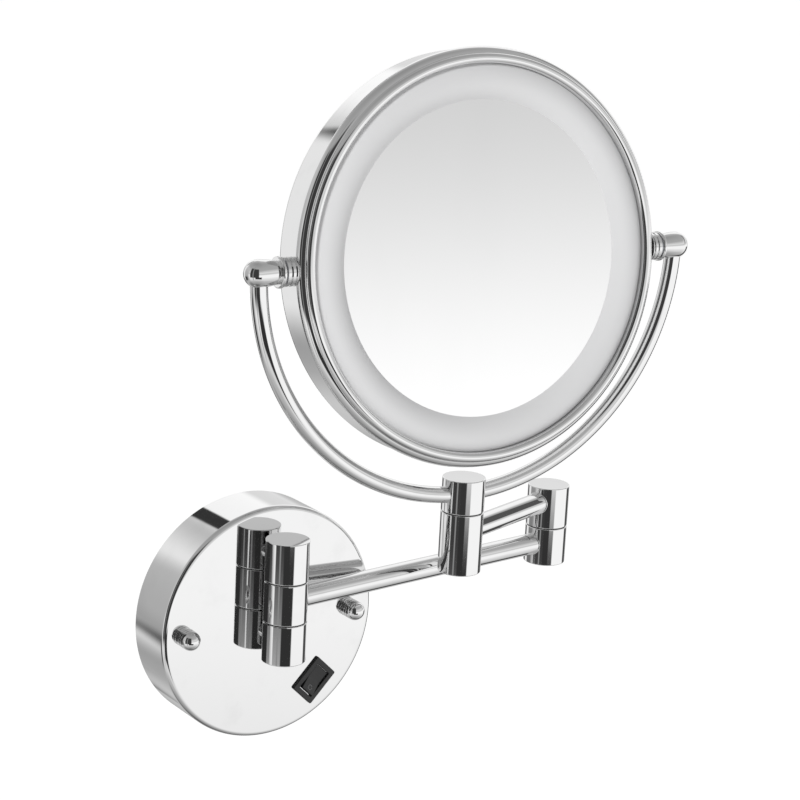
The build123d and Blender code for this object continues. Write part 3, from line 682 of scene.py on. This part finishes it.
def bezel_outline(opening, outer, front, back, seat, drum, bead, shoulder):
    """The bezel's section as (radius, forward) points: up its inner wall, over the bead from its inner
    side to where it meets the shoulder, over the shoulder to the skirt, and back under the drum's
    mouth. The two arcs meet at a point of both circles, from their radii and centre distance."""
    arc_steps = 28
    first, second = np.array([opening + bead, front - bead]), np.array([outer - shoulder, back])
    gap = second - first
    apart = np.linalg.norm(gap)
    along = (bead**2 - shoulder**2 + apart**2) / (2 * apart)
    off = math.sqrt(bead**2 - along**2)
    across = np.array([-gap[1], gap[0]]) / apart
    meet = first + gap / apart * along + across * off
    bead_end, shoulder_end = (math.atan2(*(meet - centre)[::-1]) for centre in (first, second))
    arcs = []
    for centre, radius, start, end in (
        (first, bead, math.pi, bead_end),
        (second, shoulder, shoulder_end, 0.0),
    ):
        turn = np.linspace(start, end, arc_steps)[:, None]
        arcs.append(centre + radius * np.concatenate([np.cos(turn), np.sin(turn)], axis=1))
    skirt = [(outer - GUARD, back), (drum, back), (drum, seat), (opening, seat), (opening, seat + GUARD)]
    return np.vstack([arcs[0], arcs[1][1:], skirt])


class BuildHead(bpy.types.Operator):
    """Spins the drum of the mirror head and the beaded bezel round its mouth"""

    bl_idname = "shaving_mirror.build_head"
    bl_label = "Head"

    def execute(self, context):
        wall, back, lip = 1.0 * MM, -17.2 * MM, 90.0 * MM
        edge, lip_edge = 3.0 * MM, 0.4 * MM
        inner, floor = DRUM_RADIUS - wall, back + wall
        corners = np.array([
            (inner, DRUM_MOUTH, 0), (DRUM_RADIUS, DRUM_MOUTH, 0), (DRUM_RADIUS, back, edge),
            (lip, back, lip_edge), (lip, floor, 0), (inner, floor, edge - wall),
        ])
        drum = rounded(corners[:, :2], corners[:, 2])
        bezel = bezel_outline(
            opening=95.3 * MM, outer=103.4 * MM, front=9.9 * MM, back=3.6 * MM,
            seat=DRUM_MOUTH, drum=DRUM_RADIUS, bead=2.5 * MM, shoulder=4.4 * MM,
        )
        for name, outline, node in (
            ("drum_spun", drum, "drum_housing"),
            ("bezel_spun", bezel, "front_bezel"),
        ):
            grid = moved(turned_grid(outline, LARGE_SIDES), HEAD_PLACE)
            add_piece(name, [grid], "head", "chrome_plate", (node,))
        return {"FINISHED"}


class BuildPlate(bpy.types.Operator):
    """Spins the wall plate, a shallow cup with a softly rounded front edge"""

    bl_idname = "shaving_mirror.build_plate"
    bl_label = "Wall Plate"

    def execute(self, context):
        low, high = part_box("wall_plate")
        radius, depth = high.z, -low.y
        wall, edge, rim = 1.2 * MM, 2.5 * MM, 0.3 * MM
        inner, floor = radius - wall, depth - wall
        corners = np.array([
            (0, depth, 0), (radius, depth, edge), (radius, 0, rim), (inner, 0, rim),
            (inner, floor, edge - wall), (0, floor, 0),
        ])
        outline = rounded(corners[:, :2], corners[:, 2], steps=14, closed=False)
        plate = moved(turned_grid(outline, LARGE_SIDES), FORWARD)
        add_piece("plate_spun", [plate], "wall", "chrome_plate", ("wall_plate",), wrap_rows=False)
        return {"FINISHED"}


class BuildNuts(bpy.types.Operator):
    """Turns the two domed nuts that hold the wall plate, each with two grooves round its foot"""

    bl_idname = "shaving_mirror.build_nuts"
    bl_label = "Domed Nuts"

    def execute(self, context):
        low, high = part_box("cap_nuts")
        radius = (high.z - low.z) / 2
        length = high.y - low.y
        offset = high.x - radius
        groove, root, groove_starts = 0.6 * MM, radius - 0.5 * MM, (1.4 * MM, 3.2 * MM)
        foot_edge, groove_edge, root_edge, crown_flat = 0.15 * MM, 0.18 * MM, 0.05 * MM, 0.05 * MM
        corners = [(0, 0, 0), (radius, 0, foot_edge)]
        for start in groove_starts:
            corners += [
                (radius, start, groove_edge), (root, start, root_edge),
                (root, start + groove, root_edge), (radius, start + groove, groove_edge),
            ]
        corners += [(radius, length, radius - crown_flat), (0, length, 0)]
        corners = np.array(corners)
        outline = rounded(corners[:, :2], corners[:, 2], steps=12, closed=False)
        nuts = []
        for side in (-1, 1):
            place = plane_matrix((side * offset, PLATE_FACE, 0), (0, -1, 0), UP)
            nuts.append(moved(turned_grid(outline, NUT_SIDES), place))
        add_piece("domed_nuts", nuts, "wall", "chrome_plate", ("cap_nuts",), wrap_rows=False)
        return {"FINISHED"}


PADDLE_HALF = 7.1 * MM  # half the paddle's length
PADDLE_RISE = 1.2 * MM  # its face stands this far out from its pin, in the middle
PADDLE_DISH = 1.0 * MM  # and this much further at its ends


def paddle_height(share):
    """How far the paddle's face stands out from its pin, by the share of its half length: the rise
    plus the dish times the share to the power 1.25."""
    return PADDLE_RISE + PADDLE_DISH * abs(share) ** 1.25


def paddle_grid():
    """The paddle, as sections across it that follow one another along it. Each is a rounded
    rectangle whose top follows the dish and whose heel is shallower at the ends. Near each end the
    section shrinks by edge - root(edge squared - x squared), x being how far it is into the edge."""
    wide, edge, heel_edge = 4.35 * MM, 0.5 * MM, 0.2 * MM
    heel_depth, heel_rise = 4.6 * MM, 1.5 * MM
    edge_steps, middle_steps = 8, 60
    quarter = (1 - np.cos(np.linspace(0, math.pi / 2, edge_steps))) * edge / PADDLE_HALF
    middle = np.linspace(-1 + edge / PADDLE_HALF, 1 - edge / PADDLE_HALF, middle_steps)[1:-1]
    share = np.concatenate([-1 + quarter, middle, 1 - quarter[::-1]])
    into = np.maximum(edge - (1 - abs(share)) * PADDLE_HALF, 0)
    shrink = edge - np.sqrt(np.maximum(edge**2 - into**2, 0))
    top = -paddle_height(share) + shrink
    heel = heel_depth - heel_rise * abs(share) - shrink
    side = wide - shrink
    sections = [np.stack(pair, -1) for pair in ((top, side), (top, -side), (heel, -side), (heel, side))]
    rounding = 0.9  # of the edges along the paddle, a little under those across its ends
    loops = rounded(np.stack(sections, -2), np.array([edge, edge, heel_edge, heel_edge]) * rounding)
    x = np.broadcast_to((share * PADDLE_HALF)[:, None], loops.shape[:-1])
    paddle = np.stack([x, loops[..., 0], loops[..., 1]], -1)
    ends = np.repeat(paddle[[0, -1]].mean(axis=1, keepdims=True), paddle.shape[1], axis=1)
    return np.concatenate([ends[:1], paddle, ends[1:]])


class BuildSwitch(bpy.types.Operator):
    """Moulds the rocker switch: its frame, the dished paddle and the ring that marks off"""

    bl_idname = "shaving_mirror.build_switch"
    bl_label = "Rocker Switch"

    def execute(self, context):
        pivot = pivot_of("rocker_press")
        across = Vector(joints["rocker_press"]["axis"]).normalized()
        inward = Vector((0, 1, 0))
        along = inward.cross(across)
        if along.x < 0:
            across, along = -across, -along
        turn = axes_matrix(along, inward, across)

        half_length, half_width, proud, corner = 10.25 * MM, 7.5 * MM, 1.4 * MM, 0.9 * MM
        shelf, well, floor, back = 1.2 * MM, 2.8 * MM, 7.6 * MM, 14.0 * MM
        floor_edge, mouth_edge, rim_edge, back_edge = 0.2 * MM, 0.3 * MM, 0.55 * MM, 0.5 * MM
        middle = half_width * 0.9  # as far in as the floor and the back go before their ends close
        corners = np.array([
            (middle, floor, 0), (well, floor, floor_edge), (well, -proud, mouth_edge), (0, -proud, rim_edge),
            (0, 0, 0), (shelf, 0, 0), (shelf, back, back_edge), (middle, back, 0),
        ])
        profile = rounded(corners[:, :2], corners[:, 2], closed=False)
        face = Matrix.Translation((pivot.x, PLATE_FACE, pivot.z)) @ turn
        rim = moved(framed_grid(profile, half_length, half_width, corner), face)
        add_piece("switch_frame", [rim], "wall", "black_plastic", ("switch_body",), wrap_rows=False)

        pressed = 8.0  # degrees that the paddle is tipped at rest
        paddle_place = Matrix.Translation(pivot) @ turn @ Matrix.Rotation(math.radians(pressed), 4, "Z")
        paddle = moved(paddle_grid(), paddle_place)
        add_piece("rocker_paddle", [paddle], "rocker", "black_plastic", ("switch_rocker",), wrap_rows=False)

        inner, outer, raised, edge = 1.0 * MM, 1.45 * MM, 0.12 * MM, 0.05 * MM
        spot = -0.62  # where the mark stands, as a share of the paddle's half length
        ring = rounded([(inner, -raised), (outer, -raised), (outer, raised), (inner, raised)], edge)
        height = paddle_height(spot)
        lie = Matrix.Rotation(math.atan2(PADDLE_DISH, PADDLE_HALF), 4, "Z")
        lie = Matrix.Translation((spot * PADDLE_HALF, -height, 0)) @ lie
        place = paddle_place @ (lie @ plane_matrix((0, 0, 0), (0, -1, 0), (1, 0, 0)))
        mark = moved(turned_grid(ring, MARK_SIDES), place)
        add_piece("off_mark", [mark], "rocker", "switch_print")
        return {"FINISHED"}


class FinishFrame(bpy.types.Operator):
    """Gives every carried-over part its finish"""

    bl_idname = "shaving_mirror.finish_frame"
    bl_label = "Finishes"

    def execute(self, context):
        for node, piece in frame["nodes"].items():
            piece.data.materials.clear()
            piece.data.materials.append(finish_named(slots[node]))
        return {"FINISHED"}


def stairs(value, levels):
    """A level that moves smoothly from each (place, level) to the next as the value passes them."""
    total = levels[0][1]
    for (start, low), (end, high) in zip(levels, levels[1:]):
        total = value.between(start, end) * (high - low) + total
    return total


def inside(value, low, high, soft):
    """1 between two limits and 0 outside them, with soft edges."""
    return value.between(low - soft, low + soft) * (1 - value.between(high - soft, high + soft))


def studio(s, glow):
    """The studio round the mirror: a pale tent, greyer above and towards the floor, with dark and pale
    cards hung in it so that the polished metal shows crisp lines. Bearing is the angle round the
    vertical from the tent's opening, positive to the right, and height the angle above the horizon,
    both in degrees. Polished metal mirrors the tent and the cards, and matt surfaces get a plain
    even light."""
    opening = math.radians(35.0)
    axes = s.node("SeparateXYZ", {}, {"Vector": s.place()}).socket.node.outputs
    x, y, z = (Wire(s, socket) for socket in axes)
    front = x * -math.sin(opening) + y * -math.cos(opening)
    right = x * math.cos(opening) + y * -math.sin(opening)
    bearing = s.node("Math", {"operation": "ARCTAN2"}, {0: right, 1: front}) * (180 / math.pi)
    height = s.node("Math", {"operation": "ARCSINE"}, {0: z}) * (180 / math.pi)
    away = s.node("Math", {"operation": "ABSOLUTE"}, {0: bearing})

    # the tent's brightness by (height, level): in front and on the right, on the left, and behind
    bright = stairs(height, [
        (-90, 0.12), (-65, 0.4), (-50, 0.55), (-38, 0.8), (-25, 0.98), (-19, 1.12), (-5, 1.12), (5, 0.68),
        (14, 0.86), (20, 0.7), (34, 0.46), (85, 0.35),
    ])
    shaded = stairs(height, [
        (-90, 0.1), (-60, 0.25), (-45, 0.5), (-22, 0.36), (-5, 0.5), (30, 0.6), (45, 0.42), (85, 0.33),
    ])
    behind = stairs(height, [
        (-90, 0.15), (-55, 0.3), (-40, 0.7), (-25, 0.45), (-8, 0.55), (12, 1.15), (40, 1.1), (52, 0.5),
        (85, 0.33),
    ])
    tone = shaded + bearing.between(-85, -55) * (bright - shaded)
    tone = tone + away.between(134, 156) * (behind - tone)

    # the cards, each by where it hangs and how bright it is; two of them lean
    climbing, leaning = bearing + (height - 30), bearing - (height - 15) * 0.9
    for card, level in (
        (inside(bearing, -138, -116, 3) * inside(height, -26, 30, 6), 0.95),
        (inside(away, 168, 200, 3) * inside(height, 2, 18, 3), 0.82),
        (inside(bearing, -58, 16, 3) * inside(height, -22, 46, 4), 0.05),
        (inside(bearing, -36, -29, 2) * inside(height, -40, 60, 4), 0.3),
        (inside(bearing, -14, 40, 3) * inside(height, -33, -17, 2), 0.035),
        (inside(bearing, -117, -86, 3) * inside(height, -36, -18, 3), 0.06),
        (inside(climbing, -149, -138, 1) * inside(height, 21, 42, 1), 0.04),
        (inside(bearing, -160, -140, 2) * inside(height, -34, -9, 2), 0.1),
        (inside(leaning, 103, 113, 2) * inside(height, 8, 44, 2), 0.1),
        (inside(bearing, 120, 150, 2) * inside(height, -80, -11, 2), 0.08),
    ):
        tone = tone + card * (level - tone)

    fill = 0.3  # strength of the plain light on matt surfaces
    cards = s.node("Background", {}, {"Color": tone * glow})
    plain = s.node("Background", {}, {"Color": (1, 1, 1, 1), "Strength": fill * glow})
    backdrop = s.node("Background", {}, {"Color": (1, 1, 1, 1), "Strength": 1.0})
    polished = s.node("LightPath", {}, {}, output="Is Glossy Ray")
    seen = s.node("LightPath", {}, {}, output="Is Camera Ray")
    lit = s.node("MixShader", {}, {0: polished, 1: plain, 2: cards})
    s.node("OutputWorld", {}, {"Surface": s.node("MixShader", {}, {0: seen, 1: lit, 2: backdrop})})


def lay_floor(scene, drop, pale):
    """A round floor: rings of radius r at points (r cos t, r sin t, -drop), of faintly mottled paper
    that glows a little, so that it stays pale."""
    sides, rings, radius, glow = 96, 4, 30, 0.72
    t = np.linspace(0, math.tau, sides, endpoint=False)
    ring = np.stack([np.cos(t), np.sin(t), 0 * t], -1)
    points = np.linspace(0, radius, rings)[:, None, None] * ring[None] - np.array([0, 0, drop])
    mesh = bpy.data.meshes.new("floor")
    mesh.from_pydata(points.reshape(-1, 3), [], grid_faces(rings, sides, False))
    floor = bpy.data.objects.new("floor", mesh)
    scene.collection.objects.link(floor)
    floor.visible_glossy = False
    paper = bpy.data.materials.new("floor_paper")
    paper.use_nodes = True
    s = Shader(paper.node_tree)
    s.surface(
        Base_Color=s.tinted(s.noise(3.0, 3.0), pale, dimmed(pale, 0.985)),
        Roughness=0.9,
        Emission_Color=(1, 1, 1, 1),
        Emission_Strength=glow,
    )
    mesh.materials.append(paper)


def hang_lamp(scene, glow):
    """The key light, a soft round lamp high on the left, which polished metal doesn't mirror."""
    width, watts = 0.7, 46
    lamp = bpy.data.lights.new("key", "AREA")
    lamp.shape, lamp.size, lamp.energy = "DISK", width, watts * glow
    key = bpy.data.objects.new("key", lamp)
    spot, target = Vector((-2.0, -1.2, 1.7)), Vector((0.1, 0, 0.1))
    turn = (spot - target).to_track_quat("Z", "Y").to_matrix().to_4x4()
    key.matrix_world = Matrix.Translation(spot) @ turn
    key.visible_glossy = False
    scene.collection.objects.link(key)


def set_camera(scene, lens):
    """The camera, in front of the mirror, on its left and a little above it. The yaw turns it right
    from facing the wall, the pitch tips it down and the roll leans it to one side."""
    place = (-0.582, -0.9576, 0.4051)
    yaw, pitch, roll = (math.radians(angle) for angle in (35.13, 14.73, 2.95))
    camera = bpy.data.cameras.new("camera")
    camera.lens = lens
    camera.sensor_width = 36
    camera.clip_end = 100
    eye = bpy.data.objects.new("camera", camera)
    reach = math.cos(pitch)
    forward = Vector((math.sin(yaw) * reach, math.cos(yaw) * reach, -math.sin(pitch)))
    level = Vector((math.cos(yaw), -math.sin(yaw), 0))
    rise = level.cross(forward)
    right = level * math.cos(roll) + rise * math.sin(roll)
    up = rise * math.cos(roll) - level * math.sin(roll)
    eye.matrix_world = Matrix.Translation(place) @ axes_matrix(right, up, -forward)
    scene.collection.objects.link(eye)
    scene.camera = eye


class BuildStage(bpy.types.Operator):
    """Sets the pale floor, the soft studio light and the camera"""

    bl_idname = "shaving_mirror.build_stage"
    bl_label = "Stage"

    def execute(self, context):
        scene = context.scene
        stage = scene.mirror_stage
        scene.view_settings.view_transform = "Standard"
        world = bpy.data.worlds.new("studio")
        world.use_nodes = True
        world.cycles.sampling_method = "NONE"
        scene.world = world
        studio(Shader(world.node_tree), stage.glow)
        lay_floor(scene, stage.floor_drop, stage.pale)
        hang_lamp(scene, stage.glow)
        set_camera(scene, stage.lens)
        return {"FINISHED"}


class MirrorPanel(bpy.types.Panel):
    """Lists the sizes, the finishes and the building steps"""

    bl_idname = "VIEW3D_PT_shaving_mirror"
    bl_label = "Shaving Mirror"
    bl_space_type = "VIEW_3D"
    bl_region_type = "UI"
    bl_category = "Shaving Mirror"

    def draw(self, context):
        scene = context.scene
        for group in (scene.mirror_sizes, scene.mirror_finish, scene.mirror_stage):
            box = self.layout.box()
            for name in group.__annotations__:
                box.prop(group, name)
        for step in steps:
            self.layout.operator(step.bl_idname)


steps = (
    BuildKnuckles, BuildArms, BuildYoke, BuildHead, BuildPlate, BuildNuts, BuildSwitch, FinishFrame,
    BuildStage,
)
groups = (
    ("mirror_sizes", MirrorSizes),
    ("mirror_finish", MirrorFinish),
    ("mirror_stage", MirrorStage),
)


def register():
    for name, group in groups:
        bpy.utils.register_class(group)
        setattr(bpy.types.Scene, name, PointerProperty(type=group))
    for kind in (*steps, MirrorPanel):
        bpy.utils.register_class(kind)


def unregister():
    for kind in (MirrorPanel, *reversed(steps)):
        bpy.utils.unregister_class(kind)
    for name, group in reversed(groups):
        delattr(bpy.types.Scene, name)
        bpy.utils.unregister_class(group)


def main():
    register()
    for step in steps:
        family, name = step.bl_idname.split(".")
        getattr(getattr(bpy.ops, family), name)()


if __name__ == "__main__":
    main()
